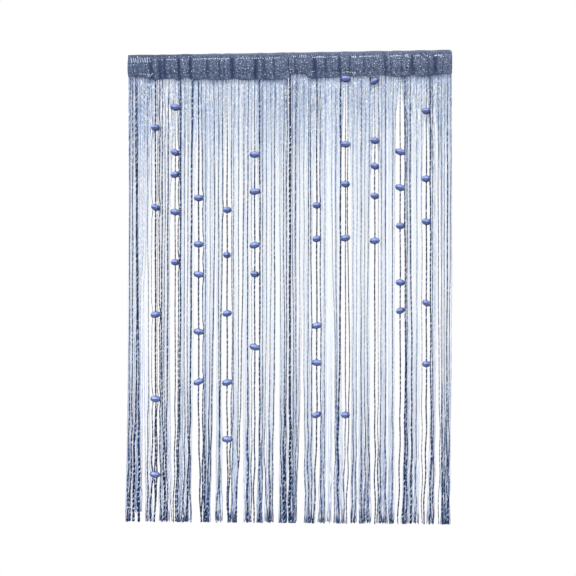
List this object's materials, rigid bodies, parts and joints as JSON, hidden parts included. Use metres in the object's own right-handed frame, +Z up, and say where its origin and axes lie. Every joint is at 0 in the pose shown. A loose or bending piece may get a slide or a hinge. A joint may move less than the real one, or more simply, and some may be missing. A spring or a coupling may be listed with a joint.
{
  "type": "string curtain",
  "caption": "String curtain panels hanging side by side: gathered rod-pocket bands over a fringe of fine silver-flecked strings in loose locks, some threaded with faceted oval beads.",
  "frame": {"origin": "middle of the pair's top edge, where the two gathered bands meet", "axes": "+X along the curtain to the viewer's right, -Y towards the room, +Z up; everything hangs below the origin"},
  "size_m": [1.0058, 0.0311, 1.447],
  "materials": {
    "band": "slate-blue knit with silver flecks",
    "string": "slate and silver-blue yarn with metallic thread",
    "bead": "faceted pearly periwinkle"
  },
  "bodies": {
    "root": {"heading_left": "band", "heading_right": "band", "strings_left": "string", "strings_right": "string", "bead_left_1_1": "bead", "bead_left_1_2": "bead", "bead_left_1_3": "bead", "bead_left_1_4": "bead", "bead_left_1_5": "bead", "bead_left_2_1": "bead", "bead_left_2_2": "bead", "bead_left_2_3": "bead", "bead_left_2_4": "bead", "bead_left_2_5": "bead", "bead_left_3_1": "bead", "bead_left_3_2": "bead", "bead_left_3_3": "bead", "bead_left_3_4": "bead", "bead_left_3_5": "bead", "bead_left_4_1": "bead", "bead_left_4_2": "bead", "bead_left_4_3": "bead", "bead_left_4_4": "bead", "bead_left_4_5": "bead", "bead_left_5_1": "bead", "bead_left_5_2": "bead", "bead_left_5_3": "bead", "bead_left_5_4": "bead", "bead_left_5_5": "bead", "bead_right_1_1": "bead", "bead_right_1_2": "bead", "bead_right_1_3": "bead", "bead_right_1_4": "bead", "bead_right_1_5": "bead", "bead_right_2_1": "bead", "bead_right_2_2": "bead", "bead_right_2_3": "bead", "bead_right_2_4": "bead", "bead_right_2_5": "bead", "bead_right_3_1": "bead", "bead_right_3_2": "bead", "bead_right_3_3": "bead", "bead_right_3_4": "bead", "bead_right_3_5": "bead", "bead_right_4_1": "bead", "bead_right_4_2": "bead", "bead_right_4_3": "bead", "bead_right_4_4": "bead", "bead_right_4_5": "bead", "bead_right_5_1": "bead", "bead_right_5_2": "bead", "bead_right_5_3": "bead", "bead_right_5_4": "bead", "bead_right_5_5": "bead"}
  },
  "joints": []
}
